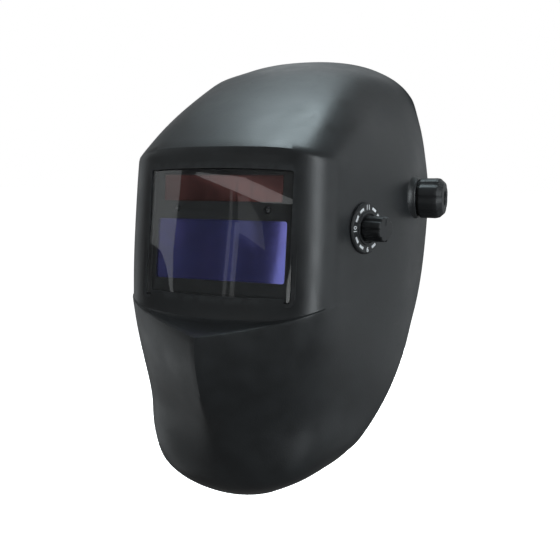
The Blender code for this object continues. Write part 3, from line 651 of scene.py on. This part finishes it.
def tunnel_front(x):
    """Where the tunnel's front edge lies, inside the bezel's wall, at a distance x across."""
    return -FACE_STAND - WALL / 2 - TUNNEL_INSET - BEZEL_BOW * (x / (TUNNEL[0] / 2)) ** 2


def stepped_bore(outer, inner, low, step, high):
    """A wide bore from low to step that goes on as a narrow one to high."""
    return lathe([(0, low), (outer, low), (outer, step), (inner, step), (inner, high), (0, high)])


def build_shell():
    shell = solid("helmet_shell", shell_cage())
    fine = shell.modifiers.new("fine", "SUBSURF")
    fine.levels = fine.render_levels = SHELL_LEVELS
    wall = shell.modifiers.new("wall", "SOLIDIFY")
    wall.thickness = WALL
    wall.offset = -1
    wall.use_even_offset = True
    wall.material_offset_rim = 1
    for _ in range(2):
        shell.data.materials.append(NYLON)
    settle(shell)
    round_edge(shell, on_rim, 0.9, 3)
    boss = eased([(0, PIVOT_X - 7), (20.5, PIVOT_X - 7), (17.4, PIVOT_X - 4.5), (16, PIVOT_X - 2),
                  (15.4, PIVOT_X), (0, PIVOT_X)], 1.2)
    hole = rounded_rect(WINDOW[0] - 6, WINDOW[1] - 6, 3, 8, 12)
    tunnel = frame_ring(rounded_rect(*TUNNEL, 6, 8, 12), hole, tunnel_front, -TUNNEL_DEPTH)
    combine(shell, joined((tunnel, FACE), (lathe(boss), side(1)), (lathe(boss), side(-1)),
                          (prism(circle(19, 96), -3.4, 0.2), DIAL)), operation="UNION")
    pivots = [(stepped_bore(15.3, 4.5, PIVOT_X - 20, PIVOT_X - 3.4, PIVOT_X + 9), side(s)) for s in (1, -1)]
    combine(shell, joined((prism(window_outline(), LENS_FRONT - 2, 12), FACE), *pivots,
                          (stepped_bore(17, 5.2, -14, -3.4, 9), DIAL)))
    combine(shell, prism(rounded_rect(*POCKET, 2), -60, LENS_FRONT + 0.3), FACE)
    slots = [(prism(rounded_rect(4.2, 17, 0.8), LATCH_DEPTH - 1.6, LATCH_DEPTH + 1.6),
              shifted(FACE, s * LATCH_SPREAD, 0)) for s in (-1, 1)]
    notch = prism(rounded_rect(5.5, 6, 0.5), -TUNNEL_DEPTH - 1, -12.2)
    combine(shell, joined(*slots, (notch, shifted(FACE, LATCH_SPREAD, LEAD_HEIGHT))))
    round_edge(shell, on_window, 0.45, 2)
    normals = shell.modifiers.new("normals", "WEIGHTED_NORMAL")
    normals.keep_sharp = True
    piece(shell, "shell_assembly", NYLON, ["shell"], sharp=30)


def round_edge(obj, wanted, width, segments):
    """Round the edges that wanted picks."""
    bm = bmesh.new()
    bm.from_mesh(obj.data)
    picked = [e for e in bm.edges if wanted(e)]
    bmesh.ops.bevel(bm, geom=picked, offset=width, segments=segments, affect="EDGES", profile=0.5,
                    clamp_overlap=True)
    bm.to_mesh(obj.data)
    bm.free()


def on_rim(edge):
    """The wall left the rim's faces in the second material slot."""
    return len({f.material_index for f in edge.link_faces}) == 2


def on_window(edge):
    """The window's outer edge: between a face that looks out and one that looks across."""
    if len(edge.link_faces) != 2:
        return False
    at = TO_FACE @ ((edge.verts[0].co + edge.verts[1].co) / 2)
    if abs(at.x) > WINDOW[0] / 2 + 0.5 or abs(at.y) > WINDOW[1] / 2 + 2.2 or not -4.6 < at.z < 0:
        return False
    across, outward = sorted((TO_FACE.to_3x3() @ f.normal).z for f in edge.link_faces)
    return abs(across) < 0.3 and outward > 0.8


# ---------------- filter cartridge and its frame
def build_window():
    for node, material, bevel in (
            ("cover_lens", CLEAR, 0.25), ("inner_lens", CLEAR, 0.2), ("lens_gasket", RUBBER, 0.2),
            ("adf_front", NYLON_DARK, 0.3), ("adf_back", NYLON_DARK, 0.3), ("liquid_crystal_cell", CELL, 0),
            ("circuit_board", BOARD, 0), ("battery", STEEL, 0.4), ("battery_door", NYLON_INNER, 0.35),
            ("lens_frame", NYLON_INNER, 0.4)):
        dress(node, material, bevel)
    for s, name in ((1, "left"), (-1, "right")):
        dress("latch_" + name, NYLON_INNER, 0.3)
        eye = eased([(0, -8.9), (1.6, -8.95), (2.3, -9.3), (2.3, -12.2), (0, -12.2)], 0.4)
        x, y = SENSOR_PLACE
        piece(solid("sensor_" + name, lathe(eye, 32), shifted(FACE, s * x, y)), "shell_assembly", SENSOR,
              ["arc_sensor_" + name])
    build_filter()
    for s, name in ((1, "sensitivity_knob"), (-1, "delay_knob")):
        place = shifted(FACE, s * KNOB_SPREAD, KNOB_HEIGHT)
        body = eased([(0, -23.4), (6.2, -23.4, 1), (7, -22.7, 1), (7, -19.4, 1), (2.9, -19.4), (2.9, -13.2),
                      (0, -13.2)], 0.35)
        knob = solid("dial_" + name, lathe(body, 144, 18, 0.45, 1.0), place)
        combine(knob, prism(rounded_rect(9, 1.4, 0.6), -24, -22.6), place)
        piece(knob, name, NYLON_KNOB, [name], sharp=40)


def leaning_plate(width, height, front, back, lean, crown=0.0):
    """A thin glass plate whose left end leans forward and whose right end falls back, by a little."""
    bm = bmesh.new()
    rows, columns = 10, 52
    straight = 30.0             # the left half is flat as far as this
    half_w, half_h = width / 2 - 0.1, height / 2 - 0.1

    def depth(x):
        left, right = max(0.0, (-x - straight) / (half_w - straight)), max(0.0, x / half_w)
        return front + lean * left ** 2 - crown * right ** 2

    xs = [half_w * (2 * i / columns - 1) for i in range(columns + 1)]
    ys = [half_h * (2 * j / rows - 1) for j in range(rows + 1)]
    face = [[bm.verts.new((x, y, depth(x))) for x in xs] for y in ys]
    rear = [[bm.verts.new((v.co.x, v.co.y, back)) for v in row] for row in face]
    for grid, step in ((face, 1), (rear, -1)):
        for a, b in zip(grid, grid[1:]):
            for i in range(columns):
                bm.faces.new((a[i], a[i + 1], b[i + 1], b[i])[::step])
    edge = ([(0, i) for i in range(columns)] + [(j, columns) for j in range(rows)]
            + [(rows, i) for i in range(columns, 0, -1)] + [(j, 0) for j in range(rows, 0, -1)])
    for (j, i), (m, k) in zip(edge, edge[1:] + edge[:1]):
        bm.faces.new((face[j][i], rear[j][i], rear[m][k], face[m][k]))
    return bm


def build_filter():
    """The coated filter glass and the solar cell, each a little out of flat."""
    glass = leaning_plate(*FILTER_SIZE, -10.14, -11.8, FILTER_LEAN, FILTER_CROWN)
    piece(solid("filter_glass", glass, shifted(FACE, 0, FILTER_HEIGHT)), "shell_assembly", FILTER,
          ["uv_ir_filter"])
    cell = leaning_plate(*SOLAR_SIZE, -8.77, -9.2, SOLAR_LEAN)
    piece(solid("solar_glass", cell, shifted(FACE, 0, SOLAR_HEIGHT)), "shell_assembly", SOLAR,
          ["solar_cell"])


# ---------------- the shade dial
def build_dial():
    plate = eased([(5.6, 1.9), (8.2, 1.9), (8.2, 0.7), (18.3, 0.7), (18.3, 1.4), (17.2, 2.6), (12, 2.6),
                   (11.6, 3.7), (10.5, 3.7), (10, 2.6), (5.6, 2.6)], 0.3, closed=True)
    piece(solid("dial_face", lathe(plate, 128), DIAL), "shell_assembly", NYLON_KNOB,
          ["dial_plate"], sharp=50)
    knob = eased([(0, -10.6), (3, -10.6), (3, 3.2), (9.3, 3.2, 1), (8.9, 17.2, 1), (8.2, 18.2, 1), (0, 18.2)],
                 0.35)
    piece(solid("dial_knob", lathe(knob, 192, 8, 0.9, 1.0), DIAL), "shade_knob", NYLON_KNOB,
          ["shade_knob"], sharp=50)
    pointer = solid("dial_pointer", prism(rounded_rect(4.6, 0.9, 0.4), 17.9, 18.5), shifted(DIAL, 5.0, 0))
    piece(pointer, "shade_knob", NYLON_KNOB)
    build_marks()
    dress("pot_housing", NYLON_DARK, 0.5)
    dress("pot_nut", BRASS, 0.2)
    start = DIAL @ Vector((-4, 10.8, -9))
    end = FACE @ Vector((ADF_WIDTH / 2 + 0.3, LEAD_HEIGHT, -15.6))
    path = [start, DIAL @ Vector((-6, 17, -9)), start.lerp(end, 0.6) + Vector((3, 0, -3)),
            end + Vector((6, 0, 0)), end]
    piece(solid("dial_lead", tube(spline([tuple(p) for p in path]), 1.5)), "shell_assembly", RUBBER,
          ["pot_lead"], sharp=60)


def build_marks():
    """A ring of printed dashes on the plate, with a shade number at each quarter."""
    marks = []
    for k in range(MARK_STEPS):
        if k % 3 == 0:
            continue
        turns = [2 * math.pi * k / MARK_STEPS + math.radians(-9.5 + 19 * j / 8) for j in range(9)]
        inner, outer = ([(r * math.cos(a), r * math.sin(a)) for a in turns]
                        for r in (MARK_RING - 0.95, MARK_RING + 0.95))
        marks.append((prism(outer + inner[::-1], 2.55, 2.66), WORLD))
    piece(solid("dial_dashes", joined(*marks), DIAL), "shell_assembly", PRINT)
    for k, number in enumerate(("11", "10", "9", "12")):
        name = "dial_number_" + number
        curve = bpy.data.curves.new(name, "FONT")
        curve.body = number
        curve.size = 5.0
        curve.offset = 0.09
        curve.align_x = curve.align_y = "CENTER"
        curve.extrude = 0.06
        text = linked(name, curve)
        bpy.context.view_layer.update()
        mesh = bpy.data.meshes.new_from_object(text)
        bpy.data.objects.remove(text)
        mesh.transform(DIAL @ Matrix.Rotation(math.radians(90 * k), 4, "Z")
                       @ Matrix.Translation((MARK_RING, 0, 2.6))
                       @ Matrix.Rotation(math.radians(-90), 4, "Z"))
        piece(linked(name, mesh), "shell_assembly", PRINT)


# ---------------- the pivots
def build_pivot(s, name):
    m = side(s)
    base = PIVOT_X + 1.5
    profile = eased([(0, base), (15.1, base, 0.5), (15.5, base + 0.8, 0.7), (15.7, base + 12, 1),
                     (15.3, base + 14.4, 1), (11.8, base + 18.3, 0.55), (6.6, base + 18.7),
                     (5.6, base + 18.2), (5, base + 15.2), (0, base + 15)], 0.5)
    knob = solid("grip_" + name, lathe(profile, 192, 8, 1.1, 1.0), m)
    combine(knob, lathe([(0, base - 3), (6.1, base - 3), (6.1, base + 4.3), (4.3, base + 4.3),
                         (4.3, base + 13), (0, base + 13)], 64), m)
    piece(knob, "tension_knob_" + name, NYLON_KNOB, ["tension_knob_" + name], sharp=50)
    dress("knob_nut_" + name, BRASS, 0.2)
    dress("friction_washer_" + name, RUBBER, 0.2)
    dress("tilt_stop_" + name, POLY, 0.3)
    dress("side_arm_" + name, POLY, 0.8)
    dress("pivot_bolt_" + name, STEEL, 0.25)


# ---------------- the head harness
BAND_HALF = [(24, 123.6), (30, 123), (41, 119.5), (51, 112), (63, 98), (74.5, 72), (79.5, 42), (80, 12),
             (77.5, -18), (68, -46), (50, -68), (26, -80.5), (0, -84)]


def band_path(per_span=8):
    return spline(BAND_HALF + [(-x, y) for x, y in reversed(BAND_HALF[:-1])], per_span)


def band_heights(half):
    return lambda x, y: (7 - 0.24 * (y - 12) - half + y / 90, 7 - 0.24 * (y - 12) + half - y / 90)


def build_headband():
    path = band_path()
    headband = solid("head_band", band(path, band_heights(11.5), band_section(BAND_THICK - 0.3, 0.3)))
    cuts = []
    for s, name in ((1, "left"), (-1, "right")):
        for k, (y, z) in enumerate(RIVETS):
            m = axes((0, y, z), (0, 1, 0), (s, 0, 0))
            cuts.append((prism(circle(2.3, 24), 70, 84), m))
            head = eased([(0, 77), (3.4, 77), (3.6, 77.6), (3.6, 78.2), (2, 78.2), (2, 85.9), (3.6, 85.9),
                          (3.5, 86.5), (2.2, 87.2), (0, 87.2)], 0.3)
            piece(solid(f"button_{name}_{k + 1}", lathe(head, 32), m), "harness", NYLON_DARK,
                  [f"rivet_{name}_{k + 1}"])
        for y in (52, 62, 72, 82, 92):
            low, high = band_heights(11.5)(0, y)
            slot = axes((0, y, (low + high) / 2), (0, 1, -0.24), (s, 0, 0))
            cuts.append((prism(rounded_rect(5.2, 3, 1.45), 55, 90), slot))
    combine(headband, joined(*cuts))
    piece(headband, "harness", POLY, ["headband"], sharp=40)


def build_crown():
    side_run = [(78.8, -4), (78.8, 14), (76.4, 39), (66, 64), (45, 81)]
    over = side_run + [(20, 88.7), (0, 90), (-16, 88.9)]
    under = side_run + [(22, 86), (0, 87.5), (-16, 86.4)]
    section = band_section(1.35, 0.25, 0.4, 2.0)
    mirrored = [(-d, f, h) for d, f, h in section]
    for name, run, s, shape in (("left", over, 1, section), ("right", under, -1, mirrored)):
        path = [(s * x, z) for x, z in spline(run)]
        strap = solid("strap_" + name, band(path, lambda x, z: (-22, -2), shape), CROWN)
        holes = [(prism(circle(2.6, 32), 80, 96), axes((x, 12, 0), (1, 0, 0), (0, 0, 1)))
                 for x in (-10, 0, 10)]
        for z in (46, 56, 66):
            holes.append((prism(rounded_rect(6, 3.2, 1.5), 40, 95), axes((0, 12, z), (0, 1, 0), (s, 0, 0))))
        combine(strap, joined(*holes))
        piece(strap, "harness", POLY, ["crown_strap_" + name], sharp=40)
    peg = eased([(0, 83.8), (4, 83.8), (4.4, 84.4), (4.4, 85), (2.2, 85), (2.2, 90.4), (4.6, 90.4), (4.4, 91),
                 (2.4, 91.5), (0, 91.5)], 0.3)
    place = axes((0, 12, 0), (1, 0, 0), (0, 0, 1))
    piece(solid("crown_button", lathe(peg, 40), place), "harness", NYLON_DARK, ["crown_peg"])


def build_ratchet():
    dress("ratchet_housing", NYLON_INNER, 1.2)
    dress("ratchet_cover", POLY, 0.6)
    for name in ("ratchet_pinion", "rack_left", "rack_right"):
        dress(name, NYLON_DARK)
    profile = eased([(0, 134.5), (20.3, 134.5, 0.5), (22.3, 137, 1), (22.5, 139, 1), (22, 146.5, 1),
                     (20.8, 149.2, 0.9), (17.6, 150.8, 0.3), (14.4, 150.9), (12.6, 149.4), (5, 149.2),
                     (3.6, 150.4), (0, 150.8)], 0.7)
    knob = solid("ratchet_grip", lathe(profile, 240, 10, 2.0), REAR)
    combine(knob, prism(circle(4.5, 48), 130, 146.4), REAR)
    piece(knob, "ratchet_knob", NYLON_KNOB, ["ratchet_knob"], sharp=50)


# ---------------- the two pads
def puff(obj, voxel, cap, frames=20):
    """Inflate a soft piece: a cloth simulation on a remeshed copy, with the swelling capped. Still in mm."""
    remesh = obj.modifiers.new("remesh", "REMESH")
    remesh.mode = "VOXEL"
    remesh.voxel_size = voxel
    settle(obj)
    rest = [v.co.copy() for v in obj.data.vertices]
    obj.data.transform(Matrix.Scale(SIM_SCALE, 4))
    cloth = obj.modifiers.new("cloth", "CLOTH")
    fabric = cloth.settings
    fabric.quality, fabric.mass = 6, 0.15
    fabric.tension_stiffness, fabric.bending_stiffness = 12, 0.6
    fabric.use_pressure, fabric.uniform_pressure_force = True, 4
    fabric.effector_weights.gravity = 0
    cloth.point_cache.frame_start, cloth.point_cache.frame_end = 1, frames
    for number in range(1, frames + 1):
        bpy.context.scene.frame_set(number)
    settle(obj)
    obj.data.transform(Matrix.Scale(1 / SIM_SCALE, 4))
    for v, start in zip(obj.data.vertices, rest):
        step = v.co - start
        if step.length > cap:
            v.co = start + step * (cap / step.length)
    bpy.context.scene.frame_set(1)


def sew(pad, drawn_in, node):
    """Smooth an inflated pad and sew it: drawn_in says how far, and towards where, each point moves."""
    smooth = pad.modifiers.new("smooth", "SUBSURF")
    smooth.levels = smooth.render_levels = 1
    settle(pad)
    for v in pad.data.vertices:
        v.co += drawn_in(v.co)
    piece(pad, "harness", CLOTH, [node], sharp=180)


def share_of(value):
    return max(0.0, min(1.0, value))


def groove(distance, width, depth):
    """The depth of a seam at a distance from its line."""
    return math.exp(-(distance / width) ** 2) * depth


def build_brow_pad():
    """The sweatband, held to the band by stitches every 24 mm and hemmed along both edges."""
    run = [p for p in band_path() if p[1] < -40]
    section = [(-5.0, 0, 0.8), (-5.0, 1, -0.8), (-1.2, 1, 0), (-1.2, 0, 0)]
    pad = solid("brow_pad", band(run, band_heights(12.0), section))
    puff(pad, 1.9, 1.3)
    inner_face = [Vector(p) for p in band_path(4)]

    def stitched(p):
        outward = Vector((p.x, p.y + 14, 0)).normalized()
        angle = math.atan2(p.x, -(p.y + 14))
        off_stitch = min(abs(angle - k * 0.34) for k in range(-4, 5)) * 75
        low, high = band_heights(12.5)(p.x, p.y)
        off_hem = abs((p.z - low) / (high - low) - 0.5) - 0.41
        inside = min((Vector((p.x, p.y)) - q).length for q in inner_face)
        return outward * share_of((inside - 1.6) / 2.6) * max(groove(off_stitch, 1.5, 1.7),
                                                              groove(off_hem, 0.035, 0.8))

    sew(pad, stitched, "sweatband")


def build_nape_pad():
    """The pad on the ratchet, with a hem round its edge and two channels across."""
    pad = solid("nape_pad", prism(rounded_rect(74, 32, 9), 106.8, 111.9), REAR)
    puff(pad, 2.2, 1.3)

    def sewn(p):
        x, z = abs(p.x), abs(p.z - RATCHET_Z)
        hem = groove(max(x / 38, z / 17) - 0.82, 0.05, 0.9)
        channel = groove(x - 13, 1.2, 1.3) if z < 14 else 0
        return Vector((0, max(hem, channel) * share_of((111 - p.y) / 3), 0))

    sew(pad, sewn, "rear_pad")


# ---------------- camera, lights and floor
COOL = (0.90, 0.965, 1.0)
SKY = (0.78, 0.94, 1.0)
LAMP_AIM = Vector((0, -0.06, -0.05))
LAMP_DISTANCE = 1.6
LAMPS = [                       # name, azimuth, elevation, width, height, radiance, colour if not COOL
    ("sky_rear", -150, 50, 0.8, 0.6, 0.6, SKY),
    ("sky_top", -160, 72, 0.8, 0.6, 7.0, SKY),
    ("sky_wide", 170, 68, 1.4, 1.2, 0.12, SKY),
    ("key_left", -62, 38, 1.3, 1.0, 0.5),
    ("fill_left", -98, 0, 1.0, 1.6, 0.52),
    ("low_left", -75, -35, 1.2, 0.8, 0.36),
    ("rear_left", -140, 10, 1.2, 1.6, 0.15),
    ("strip_right", 60, 10, 0.5, 1.4, 6.4),
    ("side_right", 100, 8, 1.0, 1.6, 0.86),
    ("rear_right", 140, 6, 1.0, 1.7, 0.42),
    ("low_right", 110, -30, 1.4, 0.8, 0.26),
    ("back", 180, 25, 1.4, 1.1, 0.35),
]
FILLS = [                       # the same, for lamps that the surfaces don't mirror
    ("fill_inside", 180, 4, 1.4, 1.1, 6.0),
    ("fill_side", -118, 14, 1.4, 1.4, 2.6),
]
FACE_AIM = Vector(FACE_CENTRE) * MM
CARD_TOWARDS = (-27.46, 8.74)   # the way the middle of the window mirrors
CARD_DISTANCE = 1.3
CARDS = {                       # radiance, then corners across and above the middle, in mm at CARD_DISTANCE
    "card_left": (0.8, [(-98, 240), (-98, -53), (-91, -136), (-87, -156), (-94, -156), (-109, -97),
                        (-126, -59), (-151, -43), (-320, -35), (-320, 240)]),
    "card_streak": (0.35, [(20, 104), (26, 104), (33, 29), (37, -170), (28, -170), (25, 28)]),
    "card_streak_wide": (0.4, [(40, 30), (52, 31), (57, -170), (46, -170)]),
    "card_patch": (0.3, [(40, 92), (62, 94), (105, 32), (119, -29), (55, 5), (47, 30)]),
    "card_right": (1.5, [(192, 250), (186, -40), (180, -110), (188, -200), (340, -200), (340, 250)]),
    "card_band": (0.95, [(-64, 129), (0, 111), (99, 82), (175, 88), (175, 98), (157, 103), (47, 138),
                        (-64, 136)]),
    "card_top": (0.12, [(0, 150), (47, 138), (157, 103), (215, 86), (215, 230), (0, 230)]),
}
FLAG_GLOW = 0.05
FLOOR_DEPTH = -0.5
FLOOR_TONE = 0.9
WORLD_LOW, WORLD_HIGH = 0.13, 0.2       # the room's glow well below the helmet, and well above it
CAMERA_PLACE = (0.24116, -0.59924, 0.02387)     # in metres, as the scene is
CAMERA_TOWARDS = (22.36, 8.36)  # azimuth and elevation, from what it looks at
LENS = 49.4


def from_angle(azimuth, elevation, distance=1.0):
    """A point on a sphere: azimuth 0 lies in front of the helmet and 90 on the wearer's left."""
    a, e = math.radians(azimuth), math.radians(elevation)
    return Vector((math.sin(a) * math.cos(e), -math.cos(a) * math.cos(e), math.sin(e))) * distance


def camera():
    data = bpy.data.cameras.new("camera")
    data.sensor_width = 36
    data.lens = LENS
    obj = linked("camera", data)
    obj.location = CAMERA_PLACE
    obj.rotation_euler = from_angle(*CAMERA_TOWARDS).to_track_quat("Z", "Y").to_euler()
    bpy.context.scene.camera = obj


def softbox(name, azimuth, elevation, width, height, radiance, colour=COOL):
    """A studio lamp on a sphere round the helmet, facing it; radiance is its brightness in a mirror."""
    data = bpy.data.lights.new(name, "AREA")
    data.shape = "RECTANGLE"
    data.size, data.size_y = width, height
    data.energy = radiance * math.pi * width * height
    data.color = colour
    obj = linked(name, data)
    obj.visible_camera = False
    obj.location = LAMP_AIM + from_angle(azimuth, elevation, LAMP_DISTANCE)
    obj.rotation_euler = (LAMP_AIM - obj.location).to_track_quat("-Z", "Y").to_euler()
    return obj


def panel(name, radiance, corners, distance):
    """A flat glowing panel in the part of the room that the window mirrors; corners are in mm."""
    towards = from_angle(*CARD_TOWARDS)
    right = Vector((0, 0, 1)).cross(towards).normalized()
    up = towards.cross(right)
    bm = bmesh.new()
    middle = FACE_AIM + towards * distance
    bm.faces.new([bm.verts.new(middle + (right * x + up * y) * MM) for x, y in corners])
    mesh = bpy.data.meshes.new(name)
    bm.to_mesh(mesh)
    bm.free()
    obj = linked(name, mesh)
    glow, _ = shade(name, (0, 0, 0), 1.0, Emission_Color=(0.95, 0.99, 1, 1), Emission_Strength=radiance)
    mesh.materials.append(glow)
    obj.visible_camera = False


def build_world():
    """White to the camera; to everything else a room that is dimmer below than above."""
    bpy.context.scene.view_settings.view_transform = "Standard"
    world = bpy.data.worlds.new("studio")
    bpy.context.scene.world = world
    world.use_nodes = True
    background = world.node_tree.nodes["Background"]
    background.inputs["Color"].default_value = (1, 1, 1, 1)
    height = add(world, "SeparateXYZ", Vector=add(world, "TexCoord").outputs["Generated"]).outputs[2]
    glow = ranged(world, height, -0.6, 0.9, WORLD_LOW, WORLD_HIGH)
    pick = add(world, "Mix")
    for index, value in ((0, add(world, "LightPath").outputs["Is Camera Ray"]), (2, glow), (3, 1.0)):
        connect(world, pick.inputs[index], value)
    connect(world, background.inputs["Strength"], pick.outputs[0])


def build_stage():
    bpy.ops.mesh.primitive_plane_add(size=30, location=(0, 0, FLOOR_DEPTH))
    floor = bpy.context.object
    floor.name = "floor"
    pale, _ = shade("pale_floor", (FLOOR_TONE,) * 3, 0.9, Emission_Color=(1, 1, 1, 1),
                    Emission_Strength=FLOOR_TONE)
    floor.data.materials.append(pale)
    floor.visible_glossy = floor.visible_diffuse = floor.visible_transmission = False
    for lamp in LAMPS:
        softbox(*lamp)
    panel("flag", FLAG_GLOW, [(-340, -300), (360, -300), (360, 300), (-340, 300)], CARD_DISTANCE + 0.03)
    for name, (radiance, corners) in CARDS.items():
        panel(name, radiance, corners, CARD_DISTANCE)
    for lamp in FILLS:
        softbox(*lamp).visible_glossy = False


camera()
build_shell()
build_window()
build_dial()
build_pivot(1, "left")
build_pivot(-1, "right")
build_headband()
build_crown()
build_ratchet()
build_brow_pad()
build_nape_pad()
build_world()
build_stage()
